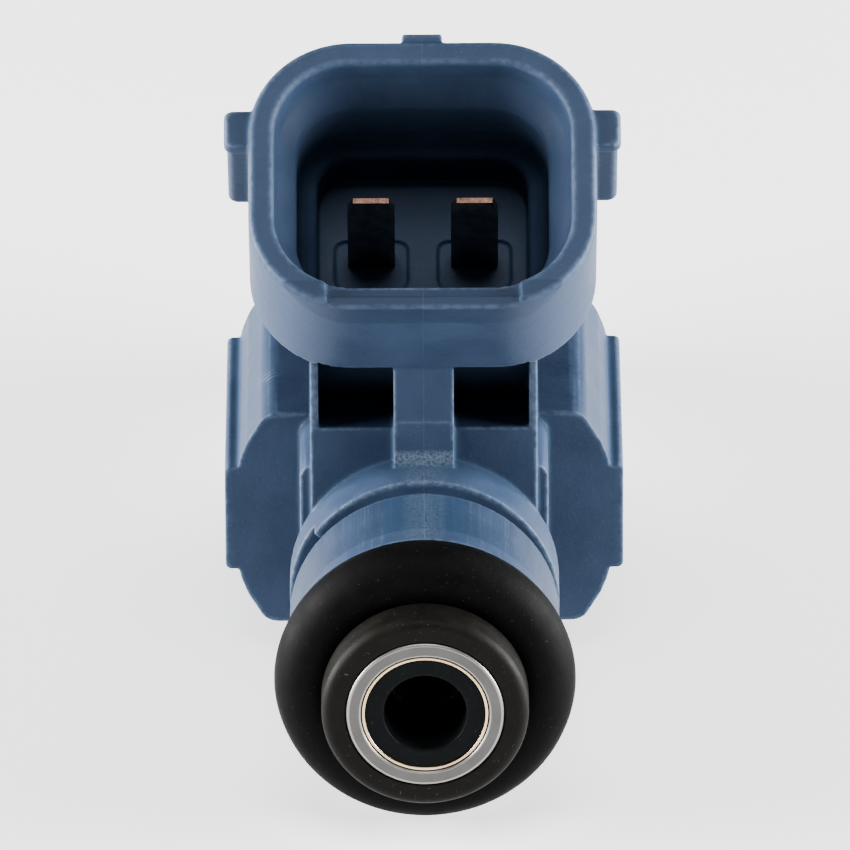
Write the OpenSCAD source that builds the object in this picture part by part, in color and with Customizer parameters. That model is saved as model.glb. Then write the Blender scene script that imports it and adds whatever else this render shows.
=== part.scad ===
// Top-feed petrol fuel injector with an oblique two-pin socket.
// It lies on its side: the fuel enters at the origin and leaves at +Y, and the socket leans up (+Z)
// and back towards the inlet. The origin is the centre of the inlet tube's end face.

/* [Inlet] */
// Outer radius of the inlet tube
tube_r = 3.82; // [3.7:0.01:3.82]
// Bore radius of the inlet tube round the filter
tube_bore_r = 3.11; // [3.1:0.01:3.15]
// Section radius of both sealing rings
seal_section_r = 1.73; // [1.6:0.01:1.73]
// Distance of the upper sealing ring behind the inlet face
upper_seal_y = 3.92; // [3.85:0.01:4]
// Outer radius of the ring that keeps the upper sealing ring on
retainer_r = 5.02; // [4.8:0.01:5.2]

/* [Housing] */
// Radius of the collar that enters the fuel rail
collar_r = 6.58; // [6.4:0.01:6.8]
// Distance of the collar's clip groove behind the inlet face
groove_y = 10.8; // [10.4:0.1:11]
// Width of the clip groove
groove_w = 1.2; // [0.8:0.1:1.4]
// Half width of the body block
block_half_w = 9.25; // [9.1:0.05:9.5]
// Half height of the body block
block_half_h = 5.75; // [5.7:0.05:6]
// Front face of the body block
block_y0 = 21.4; // [21:0.1:21.6]
// Rear face of the body block
block_y1 = 36.2; // [35.8:0.1:36.2]
// Half height of the rail on each side of the block
rail_half_h = 2.8; // [2.4:0.1:3]
// How far each rail stands out of the block
rail_out = 0.6; // [0.4:0.05:0.9]

/* [Socket] */
// Lean of the socket from the vertical, towards the inlet
socket_lean = 38; // [37:0.5:39]
// Outer width of the socket
socket_w = 16.93; // [16.5:0.01:17.5]
// Outer height of the socket
socket_h = 14.5; // [14.2, 14.3, 14.5]
// Outer corner radius of the socket
socket_corner = 5; // [4.5:0.1:5.2]
// Wall of the socket at its mouth
socket_wall = 1.25; // [1.1:0.05:1.4]
// Depth of the socket's floor below its mouth
socket_depth = 9.6; // [9.5:0.1:10]
// Width of one contact blade
blade_w = 2.3; // [2:0.05:2.4]
// Thickness of one contact blade
blade_t = 0.64; // [0.5:0.02:0.8]
// Distance between the two blades' centres
blade_pitch = 5.05; // [4.9:0.05:5.2]
// Length of a blade above the socket's floor
blade_len = 6.2; // [5.6:0.1:7]

/* [Valve] */
// Lift of the needle
lift = 0.08; // [0.06:0.01:0.1]
// Radius of the valve ball
ball_r = 1.6; // [1.5:0.05:1.6]
// Radius of the needle's stem
stem_r = 1.1; // [1:0.05:1.2]
// Running clearance of the armature, on the radius
armature_gap = 0.05; // [0.03:0.01:0.08]
// Distance of the lower sealing ring behind the inlet face
lower_seal_y = 50.2; // [50:0.1:50.4]

/* [Hidden] */
$fn = 64;

// Clearance left round pieces that the plastic is moulded over
mould_gap = 0.01;
// Sealing rings sit on the tube and on the valve body with this gap
seal_gap = 0.02;
seal_mean_r = tube_r + seal_gap + seal_section_r;
collar_y0 = upper_seal_y + seal_section_r + 0.05;
retainer_y0 = 0.06;
retainer_y1 = upper_seal_y - seal_section_r - 0.05;
retainer_edge = 0.76;
neck_y = 14.6;
neck_half_w = 5.55;
rib_half_w = 1.47;
window_wall = 0.4;
step_half_w = 6.1;
step_half_h = 5.5;

// Inlet tube, which narrows into the fixed magnet core
tube_shoulder_y = 22;
core_r = 3.35;
core_nose_y = 26.8;
core_nose_r = 3.05;
core_face_y = 28.5;
core_bore_r = 1.75;
filter_seat_y = 12.5;

// Coil
bobbin_y0 = 24.2;
bobbin_y1 = 32.4;
flange_t = 0.7;
flange_r = 4.95;
barrel_r = 3.9;
winding_r = 4.8;
frame_y0 = 22.5;
frame_t = 1.4;
frame_y1 = 34.1;
arm_x0 = 7.2;
arm_t = 1.2;
arm_half_h = 2.4;
frame_half_h = 4.4;
plate_hole_r = 3.9;

// Valve group
air_gap = lift + 0.05;
armature_r = 2.7;
armature_y0 = core_face_y + air_gap;
armature_y1 = 35.2;
spring_seat_y = 30.2;
body_bore_r = armature_r + armature_gap;
washer_y0 = 36.2;
washer_t = 0.8;
stem_collar_r = 1.9;
guide_bore_r = 2.6;
ball_y = 55.2;
contact_r = ball_r * cos(45);
guide_y0 = 53;
seat_y0 = 55.3;
seat_y1 = 57.6;
seat_hole_r = 0.5;
plate_t = 0.25;
body_end_y = 58.4;
seal_shelf_y = lower_seal_y - seal_section_r - 0.05;
cap_y0 = lower_seal_y + seal_section_r + 0.05;
cap_r = 5.3;
cap_y1 = 57.4;

// Socket frame: the mouth's centre, and what hangs below it
mouth_y = 15.39;
mouth_z = 21.67;
base_drop = 7;
rear_drop = 11.5;
rear_half_w = 8.4;
throat_w = 12.3;
throat_h = 10.4;
well_w = 10.3;
well_h = 8.8;
well_depth = 2.8;
notch_half_w = 4.72;
notch_depth = 0.4;
pocket_half_w = 1.8;
pocket_depth = 0.2;
blade_root = socket_depth + 1.8;

// Points of an arc from angle a0 to angle a1
function arc(cx, cy, r, a0, a1, n = 8) =
    [for (i = [0:n]) [cx + r * cos(a0 + (a1 - a0) * i / n), cy + r * sin(a0 + (a1 - a0) * i / n)]];

// Outline of a w by h rectangle with round corners
function round_rect(w, h, r, n = 8) = concat(
    arc(w / 2 - r, h / 2 - r, r, 0, 90, n), arc(r - w / 2, h / 2 - r, r, 90, 180, n),
    arc(r - w / 2, r - h / 2, r, 180, 270, n), arc(w / 2 - r, r - h / 2, r, 270, 360, n));

// Quarter of the block's outline: a short upright side, a full shoulder and a round corner
corner_x = block_half_w - 2;
corner_z = block_half_h - 1;
function block_quarter() = concat(
    [[block_half_w, rail_half_h - 0.2], [block_half_w - 0.2, corner_z - 1.35],
     [block_half_w - 0.5, corner_z - 0.58]], arc(corner_x, corner_z, 1, 24, 90, 6));
function mirror_points(p, sx, sz) = [for (q = p) [sx * q[0], sz * q[1]]];
function backwards(p) = [for (i = [len(p) - 1:-1:0]) p[i]];
function block_outline() = concat(block_quarter(), backwards(mirror_points(block_quarter(), -1, 1)),
    mirror_points(block_quarter(), -1, -1), backwards(mirror_points(block_quarter(), 1, -1)));

// Turned solid whose axis is the injector's axis; points are [radius, distance from the inlet]
module turned(points) {
    rotate([-90, 0, 0]) rotate_extrude() polygon(points);
}

// Round bar along the injector's axis
module bar(r, y0, y1) {
    translate([0, y0, 0]) rotate([-90, 0, 0]) cylinder(r = r, h = y1 - y0);
}

// Plate across the injector's axis; its outline is drawn in X and Z
module plate(y0, y1) {
    translate([0, y1, 0]) rotate([90, 0, 0]) linear_extrude(height = y1 - y0) children();
}

// Slab across X; its outline is drawn in Y and Z
module slab(x0, x1) {
    translate([x0, 0, 0]) rotate([90, 0, 90]) linear_extrude(height = x1 - x0) children();
}

// Socket frame: Z leaves the mouth, Y points up the mouth
module at_mouth() {
    translate([0, mouth_y, mouth_z]) rotate([socket_lean, 0, 0]) children();
}

// Prism of a rounded rectangle below the mouth
module shaft_of(w, h, r, z0, z1) {
    translate([0, 0, z0]) linear_extrude(height = z1 - z0) polygon(round_rect(w, h, r));
}

// Route of a contact blade in Y and Z: down the socket's lean, then back over the coil
function below(depth, y) = [mouth_y + y * cos(socket_lean) + depth * sin(socket_lean),
                            mouth_z + y * sin(socket_lean) - depth * cos(socket_lean)];
blade_floor_y = 0.12;
tail_z = 5.2;
tail_y1 = 24.7;

module blade_shape(x, grow = 0) {
    top = grow > 0 ? socket_depth - 0.3 : socket_depth - blade_len;
    x0 = x - blade_w / 2 - grow;
    x1 = x + blade_w / 2 + grow;
    slab(x0, x1) polygon([
        below(top, blade_floor_y + blade_t / 2 + grow),
        below(top, blade_floor_y - blade_t / 2 - grow),
        below(blade_root, blade_floor_y - blade_t / 2 - grow),
        [tail_y1 - blade_t - grow, tail_z + 2.2],
        [tail_y1 - blade_t - grow, tail_z - grow],
        [tail_y1 + grow, tail_z - grow],
        [tail_y1 + grow, tail_z + 2.2],
        below(blade_root, blade_floor_y + blade_t / 2 + grow)]);
}

// Socket cavity: mouth, tapered throat, the well that the blades stand in, and the notch in the rim
module socket_cavity() {
    inner_w = socket_w - 2 * socket_wall;
    inner_h = socket_h - 2 * socket_wall;
    shaft_of(inner_w, inner_h, socket_corner - socket_wall, -1.7, 1);
    shaft_of(throat_w + 1, throat_h + 0.8, 3.4, -2.6, 0);
    shaft_of(throat_w, throat_h, 3, well_depth - socket_depth, 0);
    shaft_of(well_w, well_h, 1.6, -socket_depth, 0);
    translate([-notch_half_w, -socket_h / 2 - 1, -notch_depth]) cube([2 * notch_half_w, 4, 2]);
    for (x = [-1, 1]) {
        translate([x * blade_pitch / 2 - pocket_half_w, -1.5, -socket_depth - pocket_depth])
            cube([2 * pocket_half_w, 2.6, 1]);
    }
}

module socket_shell() {
    shaft_of(socket_w, socket_h, socket_corner, -base_drop, 0);
    intersection() {
        shaft_of(2 * rear_half_w, socket_h, socket_corner - 0.1, -rear_drop, -1);
        translate([-10, -1, -20]) cube([20, 20, 20]);
    }
    for (x = [-1, 1]) {
        translate([x > 0 ? socket_w / 2 - 0.5 : -socket_w / 2 - 1.2, 1.6, -6.5]) cube([1.7, 2, 6.2]);
    }
    translate([-0.95, socket_h / 2 - 0.5, -4.6]) cube([1.9, 1.1, 4.4]);
}

// Neck under the socket, seen from the side
module neck_side() {
    polygon([[neck_y, -4.8], below(base_drop, 0.9 - socket_h / 2), below(base_drop, 7.05),
             below(rear_drop, 7.05), [31.5, 5], [31.5, -4.8]]);
}

module window_side() {
    polygon([[13, 8.2], [18.9, 8.2], [15.45, 13.11], [13, 11.19]]);
}

module housing_outer() {
    bar(collar_r, collar_y0, groove_y);
    bar(collar_r - 0.75, groove_y - 0.1, groove_y + groove_w + 0.1);
    bar(collar_r + 0.02, groove_y + groove_w, neck_y);
    difference() {
        slab(-neck_half_w, neck_half_w) neck_side();
        slab(rib_half_w, neck_half_w - window_wall) window_side();
        slab(window_wall - neck_half_w, -rib_half_w) window_side();
    }
    slab(-rib_half_w, rib_half_w) polygon([[13.9, 5], [13.9, 11.9], [15, 12.76], [15, 5]]);
    plate(neck_y - 0.1, block_y0 + 1) polygon(round_rect(2 * neck_half_w, 2 * neck_half_w, 2));
    plate(16.2, block_y0 + 1) polygon(round_rect(2 * step_half_w, 2 * step_half_h, 0.8));
    plate(block_y0, block_y1) polygon(block_outline());
    translate([-block_half_w - rail_out, block_y0, -rail_half_h])
        cube([2 * (block_half_w + rail_out), block_y1 - block_y0, 2 * rail_half_h]);
    at_mouth() socket_shell();
}

module housing_hollow() {
    at_mouth() socket_cavity();
    bar(tube_r + mould_gap, 0, tube_shoulder_y + mould_gap);
    bar(core_r + mould_gap, tube_shoulder_y, frame_y0 + 1);
    frame_solid(mould_gap);
    plate(frame_y1 - frame_t - mould_gap, frame_y1 + mould_gap)
        square([2 * arm_x0, 2 * (frame_half_h + mould_gap)], center = true);
    bar(flange_r + mould_gap, bobbin_y0 - mould_gap, bobbin_y1 + mould_gap);
    bar(core_r + mould_gap, frame_y0, bobbin_y0 + 1);
    bar(plate_hole_r + mould_gap, bobbin_y1, block_y1 + 1);
    blade_shape(-blade_pitch / 2, mould_gap);
    blade_shape(blade_pitch / 2, mould_gap);
}

module housing() {
    color([0.42, 0.53, 0.66]) difference() {
        housing_outer();
        housing_hollow();
    }
}

module inlet_tube() {
    color([0.78, 0.78, 0.76]) turned([
        [tube_bore_r, 0], [tube_r - 0.1, 0], [tube_r, 0.1], [tube_r, tube_shoulder_y],
        [core_r, tube_shoulder_y], [core_r, core_nose_y], [core_nose_r, core_nose_y],
        [core_nose_r, core_face_y], [core_bore_r, core_face_y], [core_bore_r, filter_seat_y + 1],
        [tube_bore_r, filter_seat_y]]);
}

module ring_retainer() {
    rim_r = retainer_r - retainer_edge;
    color([0.33, 0.3, 0.24]) turned(concat([[tube_r + 0.01, retainer_y0]],
        arc(rim_r, retainer_y0 + retainer_edge, retainer_edge, -90, 0),
        [[retainer_r, retainer_y1], [tube_r + 0.01, retainer_y1]]));
}

module seal_ring(y) {
    translate([0, y, 0]) rotate([-90, 0, 0]) rotate_extrude()
        translate([seal_mean_r, 0]) circle(r = seal_section_r);
}

module upper_o_ring() {
    color([0.06, 0.06, 0.06]) seal_ring(upper_seal_y);
}

module filter_sleeve() {
    color([0.78, 0.6, 0.32]) turned([[2.92, 0.08], [3.05, 0.08], [3.05, 4.2], [2.92, 4.2]]);
}

// Plastic cage: a collar in the sleeve, four ribs and a closed end
module filter_cage() {
    color([0.16, 0.18, 0.2]) union() {
        turned([[2, 0.15], [2.91, 0.15], [2.91, 4.2], [2.5, 4.2], [2.5, 5], [2, 5]]);
        for (a = [45:90:315]) {
            rotate([0, a, 0]) translate([2, 4.9, -0.3]) cube([0.5, 6.3, 0.6]);
        }
        bar(2.5, 11.1, 11.9);
    }
}

module filter_mesh() {
    color([0.75, 0.72, 0.62]) turned([[1.85, 4.6], [1.98, 4.6], [1.98, 11.08], [1.85, 11.08]]);
}

module preload_sleeve() {
    color([0.7, 0.7, 0.7]) turned([[0.95, 15.5], [1.74, 15.5], [1.74, 20.5], [0.95, 20.5]]);
}

// Closed coil spring between the preload sleeve and the armature
spring_y0 = 20.52;
spring_y1 = spring_seat_y - 0.02;
spring_turns = 7;
spring_wire_r = 0.2;
spring_mean_r = 1.4;
spring_sides = 8;
spring_steps = 20 * spring_turns;
spring_rise = spring_y1 - spring_y0 - 2 * spring_wire_r;
function spring_height(t) = spring_y0 + spring_wire_r + spring_rise * t;
spring_points = [for (i = [0:spring_steps]) for (j = [0:spring_sides - 1])
    let (a = 360 * spring_turns * i / spring_steps, b = -360 * j / spring_sides,
         r = spring_mean_r + spring_wire_r * cos(b))
    [r * cos(a), spring_height(i / spring_steps) + spring_wire_r * sin(b), r * sin(a)]];
spring_faces = concat(
    [[for (j = [0:spring_sides - 1]) j]],
    [for (i = [0:spring_steps - 1]) for (j = [0:spring_sides - 1]) let (k = (j + 1) % spring_sides)
        [i * spring_sides + j, (i + 1) * spring_sides + j,
         (i + 1) * spring_sides + k, i * spring_sides + k]],
    [[for (j = [spring_sides - 1:-1:0]) spring_steps * spring_sides + j]]);

module return_spring() {
    color([0.75, 0.75, 0.78]) polyhedron(spring_points, spring_faces);
}

module left_terminal() {
    color([0.72, 0.5, 0.36]) blade_shape(-blade_pitch / 2);
}

module right_terminal() {
    color([0.72, 0.5, 0.36]) blade_shape(blade_pitch / 2);
}

module coil_bobbin() {
    color([0.85, 0.82, 0.72]) turned([
        [core_r + 0.06, bobbin_y0], [flange_r, bobbin_y0], [flange_r, bobbin_y0 + flange_t],
        [barrel_r, bobbin_y0 + flange_t], [barrel_r, bobbin_y1 - flange_t],
        [flange_r, bobbin_y1 - flange_t], [flange_r, bobbin_y1], [core_r + 0.06, bobbin_y1]]);
}

module coil_winding() {
    color([0.72, 0.36, 0.16]) turned([
        [barrel_r + 0.01, bobbin_y0 + flange_t + 0.01], [winding_r, bobbin_y0 + flange_t + 0.01],
        [winding_r, bobbin_y1 - flange_t - 0.01], [barrel_r + 0.01, bobbin_y1 - flange_t - 0.01]]);
}

// Steel frame: a front plate and two side arms
module frame_solid(grow = 0) {
    plate(frame_y0 - grow, frame_y0 + frame_t + grow)
        square([2 * (arm_x0 + grow), 2 * (frame_half_h + grow)], center = true);
    for (x = [-1, 1]) {
        translate([x > 0 ? arm_x0 - grow : -arm_x0 - arm_t - grow, frame_y0 - grow, -arm_half_h - grow])
            cube([arm_t + 2 * grow, frame_y1 - frame_y0 + 2 * grow, 2 * (arm_half_h + grow)]);
    }
}

module yoke_frame() {
    color([0.55, 0.56, 0.58]) difference() {
        frame_solid();
        bar(core_r + 0.01, frame_y0 - 1, frame_y0 + frame_t + 1);
    }
}

module flux_plate() {
    color([0.55, 0.56, 0.58]) difference() {
        plate(frame_y1 - frame_t, frame_y1) square([2 * arm_x0 - 0.02, 2 * frame_half_h], center = true);
        bar(plate_hole_r + 0.01, frame_y1 - frame_t - 1, frame_y1 + 1);
    }
}

module joint_sleeve() {
    color([0.68, 0.68, 0.7]) turned([
        [core_nose_r + 0.01, core_nose_y + 0.02], [core_r + 0.03, core_nose_y + 0.02],
        [core_r + 0.03, 31.3], [core_nose_r + 0.01, 31.3]]);
}

module armature() {
    color([0.6, 0.6, 0.62]) turned([
        [core_bore_r, armature_y0], [armature_r, armature_y0], [armature_r, armature_y1],
        [stem_r + 0.01, armature_y1], [stem_r + 0.01, armature_y1 - 2.4], [0.75, armature_y1 - 2.4],
        [0.75, spring_seat_y], [core_bore_r, spring_seat_y]]);
}

// Hollow stem with a stop collar and two cross holes that let the fuel out
module needle() {
    collar_y = washer_y0 + washer_t + lift + 0.02;
    color([0.7, 0.7, 0.72]) difference() {
        turned([
            [0.6, armature_y1 - 2.38], [stem_r, armature_y1 - 2.38], [stem_r, collar_y],
            [stem_collar_r, collar_y], [stem_collar_r, collar_y + 0.8], [stem_r, collar_y + 0.8],
            [stem_r, ball_y - 1.25], [0.6, ball_y - 1.49]]);
        translate([-3, 48, 0]) rotate([0, 90, 0]) cylinder(r = 0.45, h = 6);
        translate([0, 45, -3]) cylinder(r = 0.45, h = 6);
    }
}

module valve_ball() {
    color([0.85, 0.85, 0.87]) translate([0, ball_y, 0]) rotate([-90, 0, 0]) sphere(r = ball_r - 0.005);
}

module stop_washer() {
    color([0.6, 0.6, 0.62]) turned([
        [stem_r + 0.12, washer_y0], [guide_bore_r + 0.58, washer_y0],
        [guide_bore_r + 0.58, washer_y0 + washer_t], [stem_r + 0.12, washer_y0 + washer_t]]);
}

// Stepped steel body, in two bores that meet at the stop washer's seat
module valve_body() {
    color([0.66, 0.67, 0.69]) turned([
        [body_bore_r, 29.6], [core_nose_r, 29.6], [core_nose_r, 32.42], [plate_hole_r, 32.6],
        [plate_hole_r, block_y1 + 0.2], [4.9, block_y1 + 0.2], [5.1, block_y1 + 0.4], [5.1, 44], [4.6, 45],
        [4.6, 46.4], [5.4, 46.6], [5.4, 48], [tube_r, 48], [tube_r, cap_y0], [3.4, cap_y0],
        [3.4, body_end_y], [2.2, body_end_y], [2.2, seat_y1 + plate_t + 0.02],
        [guide_bore_r + 0.02, seat_y1 + plate_t + 0.02], [guide_bore_r + 0.02, guide_y0],
        [2.2, guide_y0 - 0.01], [2.2, washer_y0 + washer_t + 0.01],
        [guide_bore_r + 0.6, washer_y0 + washer_t + 0.01], [guide_bore_r + 0.6, washer_y0 - 0.5],
        [body_bore_r, washer_y0 - 0.51]]);
}

// Guide for the ball, with four fuel passages round it
module ball_guide() {
    color([0.62, 0.62, 0.64]) difference() {
        bar(guide_bore_r, guide_y0 + 0.02, seat_y0 - 0.01);
        bar(ball_r + 0.03, guide_y0 - 1, seat_y0 + 1);
        for (a = [0:90:270]) {
            rotate([0, a, 0]) translate([1.75, 0, 0]) bar(0.5, guide_y0 - 1, seat_y0 + 1);
        }
    }
}

module valve_seat() {
    contact_y = ball_y + contact_r;
    top_r = contact_r + contact_y - seat_y0;
    color([0.62, 0.62, 0.64]) turned([
        [seat_hole_r, contact_y + contact_r - seat_hole_r], [top_r, seat_y0], [guide_bore_r, seat_y0],
        [guide_bore_r, seat_y1], [seat_hole_r, seat_y1]]);
}

// Thin plate whose four drilled holes meter the fuel
module orifice_plate() {
    color([0.75, 0.75, 0.76]) difference() {
        bar(guide_bore_r, seat_y1 + 0.01, seat_y1 + plate_t);
        for (a = [45:90:315]) {
            rotate([0, a, 0]) translate([0.3, 0, 0]) bar(0.1, seat_y1 - 1, seat_y1 + 1);
        }
    }
}

module lower_o_ring() {
    color([0.06, 0.06, 0.06]) seal_ring(lower_seal_y);
}

module backing_washer() {
    color([0.3, 0.28, 0.22]) turned([
        [tube_r + 0.02, 48.02], [6.2, 48.02], [6.2, seal_shelf_y], [tube_r + 0.02, seal_shelf_y]]);
}

module nozzle_cap() {
    color([0.1, 0.1, 0.11]) turned([
        [3.42, cap_y0 + 0.02], [cap_r, cap_y0 + 0.02], [cap_r, cap_y1 - 1], [cap_r - 0.6, cap_y1],
        [3.42, cap_y1]]);
}

housing();
inlet_tube();
ring_retainer();
upper_o_ring();
filter_sleeve();
filter_cage();
filter_mesh();
preload_sleeve();
return_spring();
left_terminal();
right_terminal();
coil_bobbin();
coil_winding();
yoke_frame();
flux_plate();
joint_sleeve();
armature();
needle();
valve_ball();
stop_washer();
valve_body();
ball_guide();
valve_seat();
orifice_plate();
lower_o_ring();
backing_washer();
nozzle_cap();
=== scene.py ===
import math
import bmesh
import bpy
import numpy as np
from mathutils import Matrix, Vector


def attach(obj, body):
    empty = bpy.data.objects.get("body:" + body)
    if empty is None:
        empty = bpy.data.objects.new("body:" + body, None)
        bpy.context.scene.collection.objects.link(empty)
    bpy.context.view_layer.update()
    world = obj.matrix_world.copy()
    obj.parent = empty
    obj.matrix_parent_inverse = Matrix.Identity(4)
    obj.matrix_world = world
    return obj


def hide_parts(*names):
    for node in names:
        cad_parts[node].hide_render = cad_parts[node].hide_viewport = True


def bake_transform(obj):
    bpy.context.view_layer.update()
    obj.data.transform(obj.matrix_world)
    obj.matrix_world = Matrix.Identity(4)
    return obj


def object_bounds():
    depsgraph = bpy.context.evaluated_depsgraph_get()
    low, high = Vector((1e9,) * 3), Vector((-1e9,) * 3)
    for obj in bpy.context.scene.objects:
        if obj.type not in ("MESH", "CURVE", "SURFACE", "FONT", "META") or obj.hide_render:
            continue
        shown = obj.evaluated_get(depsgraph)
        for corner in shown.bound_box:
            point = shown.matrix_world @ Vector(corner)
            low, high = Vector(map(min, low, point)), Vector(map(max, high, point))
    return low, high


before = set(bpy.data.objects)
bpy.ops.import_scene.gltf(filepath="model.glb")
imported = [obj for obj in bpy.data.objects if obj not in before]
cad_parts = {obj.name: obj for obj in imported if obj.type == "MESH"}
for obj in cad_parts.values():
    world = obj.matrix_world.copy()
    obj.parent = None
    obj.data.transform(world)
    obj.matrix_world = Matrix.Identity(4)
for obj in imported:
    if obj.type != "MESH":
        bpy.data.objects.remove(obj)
cad_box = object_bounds()


# Housing: one injection moulding in slate-blue glass-filled nylon, shot round the inlet tube, the coil
# and the terminals. It carries the collar, the clip groove, the neck with its two windows, the body
# block with a rail on each side, and the socket that leans back over the inlet.
def arc(cx, cy, r, a0, a1, n=10):
    return [(cx + r * math.cos(math.radians(a0 + (a1 - a0) * i / n)),
             cy + r * math.sin(math.radians(a0 + (a1 - a0) * i / n))) for i in range(n + 1)]


def circle(r, n=256):
    return arc(0, 0, r, 0, 360, n)[:-1]


def round_rect(w, h, r, n=10):
    x, y = w / 2 - r, h / 2 - r
    return (arc(x, y, r, 0, 90, n) + arc(-x, y, r, 90, 180, n)
            + arc(-x, -y, r, 180, 270, n) + arc(x, -y, r, 270, 360, n))


def box_outline(x0, y0, x1, y1):
    return [(x0, y0), (x1, y0), (x1, y1), (x0, y1)]


def across(u, v, d):
    return (u, d, v)


def sideways(u, v, d):
    return (d, u, v)


def loft(bm, place, *sections):
    rings = [[bm.verts.new(place(u, v, d)) for u, v in outline] for outline, d in sections]
    n = len(rings[0])
    faces = [bm.faces.new(rings[0][::-1]), bm.faces.new(rings[-1])]
    for low, high in zip(rings, rings[1:]):
        for i in range(n):
            j = (i + 1) % n
            faces.append(bm.faces.new((low[i], low[j], high[j], high[i])))
    return faces


def prism(bm, outline, d0, d1, place):
    return loft(bm, place, (outline, d0), (outline, d1))


def solid(name, bm):
    bmesh.ops.recalc_face_normals(bm, faces=bm.faces)
    mesh = bpy.data.meshes.new(name)
    bm.to_mesh(mesh)
    bm.free()
    obj = bpy.data.objects.new(name, mesh)
    bpy.context.scene.collection.objects.link(obj)
    return obj


def baked(obj):
    depsgraph = bpy.context.evaluated_depsgraph_get()
    mesh = bpy.data.meshes.new_from_object(obj.evaluated_get(depsgraph))
    obj.modifiers.clear()
    obj.data = mesh
    return obj


def combine(obj, tool, operation):
    step = obj.modifiers.new("combine", "BOOLEAN")
    step.operation = operation
    step.solver = "EXACT"
    step.use_self = True
    step.object = tool
    baked(obj)
    bpy.data.objects.remove(tool)
    return obj


LEAN = math.radians(38)
MOUTH = (0, 15.39, 21.67)
AT_MOUTH = Matrix.Translation(MOUTH) @ Matrix.Rotation(LEAN, 4, "X")


def in_mouth(u, v, d):
    return AT_MOUTH @ Vector((u, v, d))


def below(depth, y):
    point = in_mouth(0, y, -depth)
    return (point.y, point.z)


SOCKET_W, SOCKET_H, SOCKET_R, SOCKET_WALL = 16.93, 14.45, 5.0, 1.25
SOCKET_FLOOR = -9.6
NOTCH_X, NOTCH_DEPTH, LIP_DEPTH = 4.72, 0.42, 0.14
BLADE_X = 2.525
TUBE_R = 3.83
NECK_Y = 14.6
NECK_X = 5.55
RIB_X = 1.47
BLOCK_Y = (21.4, 36.2)
EDGE_ROUND = ((0, 0.28), (0.07, 0.12), (0.15, 0.04), (0.26, 0))


def housing_outside():
    bm = bmesh.new()
    loft(bm, across, (circle(6.5), 5.7), (circle(6.58), 5.8), (circle(6.58), 10.8))
    prism(bm, circle(5.83), 10.5, 12.3, across)
    prism(bm, circle(6.6), 12.0, NECK_Y + 0.4, across)
    neck = [(NECK_Y, -4.8), below(7, -6.2), below(7, 7.05), below(11.5, 7.05), (31.5, 5), (31.5, -4.8)]
    prism(bm, neck, -NECK_X, NECK_X, sideways)
    prism(bm, round_rect(2 * NECK_X, 2 * NECK_X, 2), NECK_Y + 0.5, 22.4, across)
    prism(bm, round_rect(12.2, 11, 0.8), 16.2, 22.4, across)
    quarter = [(9.25, 2.6), (9.05, 3.4), (8.75, 4.17)] + arc(7.25, 4.75, 1, 24, 90, 8)
    half = quarter + [(-x, z) for x, z in quarter[::-1]]
    prism(bm, half + [(-x, -z) for x, z in half], *BLOCK_Y, across)
    prism(bm, round_rect(19.7, 5.6, 0.25, 4), *BLOCK_Y, across)
    rims = [(round_rect(SOCKET_W - 2 * a, SOCKET_H - 2 * a, SOCKET_R - a, 40), -d) for a, d in EDGE_ROUND]
    loft(bm, in_mouth, (round_rect(SOCKET_W, SOCKET_H, SOCKET_R, 40), -7), *rims)
    rear = arc(3.45, 2.15, 4.95, 0, 90, 40) + arc(-3.45, 2.15, 4.95, 90, 180, 40) + [(-8.4, -1), (8.4, -1)]
    prism(bm, rear, -11.5, -1, in_mouth)
    for side in (-1, 1):
        ear = [(side * (8.16 + u), 2.6 + v) for u, v in round_rect(3, 2, 0.3, 5)]
        slim = [(side * (8.06 + u), 2.6 + v) for u, v in round_rect(2.9, 1.9, 0.3, 5)]
        low = [(side * (7.96 + u), 2.6 + v) for u, v in round_rect(2.8, 1.8, 0.3, 5)]
        loft(bm, in_mouth, (low, -6.5), (slim, -6.2), (slim, -1.1), (ear, -0.9), (ear, -0.5), (slim, -0.3))
    prism(bm, box_outline(-0.98, 6.5, 0.98, 7.7), -4.6, -0.2, in_mouth)
    return solid("housing", bm)


def socket_cavity():
    bm = bmesh.new()
    w, h, r = SOCKET_W - 2 * SOCKET_WALL, SOCKET_H - 2 * SOCKET_WALL, SOCKET_R - SOCKET_WALL
    rims = [(round_rect(w + 2 * a, h + 2 * a, r + a, 36), -d) for a, d in EDGE_ROUND]
    throat = [(round_rect(12.3 - 2 * a, 10.4 - 1.6 * a, 3 - 1.2 * a, 36), -5.8 - d)
              for a, d in ((0, 0), (0.08, 0.4), (0.26, 0.75), (0.55, 1.05), (0.85, 1.25), (1.0, 1.5))]
    loft(bm, in_mouth, (throat[-1][0], SOCKET_FLOOR), *throat[::-1], (round_rect(12.3, 10.4, 3, 36), -3.35),
         (round_rect(12.5, 10.7, 3.1, 36), -3.0), (round_rect(w - 0.3, h - 0.25, r - 0.1, 36), -1.9),
         (round_rect(w, h, r, 36), -1.5),
         *rims, (round_rect(w + 0.52, h + 0.52, r + 0.26, 36), 1))
    prism(bm, box_outline(-NOTCH_X, -6.6, NOTCH_X, -4), -NOTCH_DEPTH, 1, in_mouth)
    prism(bm, box_outline(0.02 - NOTCH_X, -8, NOTCH_X - 0.02, -6.5), -LIP_DEPTH, 1, in_mouth)
    for x in (-BLADE_X, BLADE_X):
        pocket = [(x + u, v - 0.2) for u, v in round_rect(3.6, 2.6, 0.5, 6)]
        prism(bm, pocket, SOCKET_FLOOR - 0.2, SOCKET_FLOOR + 0.5, in_mouth)
    window = [(13, 8.2), (18.9, 8.2), (15.45, 13.11), (13, 11.19)]
    prism(bm, window, RIB_X, NECK_X - 0.4, sideways)
    prism(bm, window, 0.4 - NECK_X, -RIB_X, sideways)
    return solid("cavity", bm)


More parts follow.
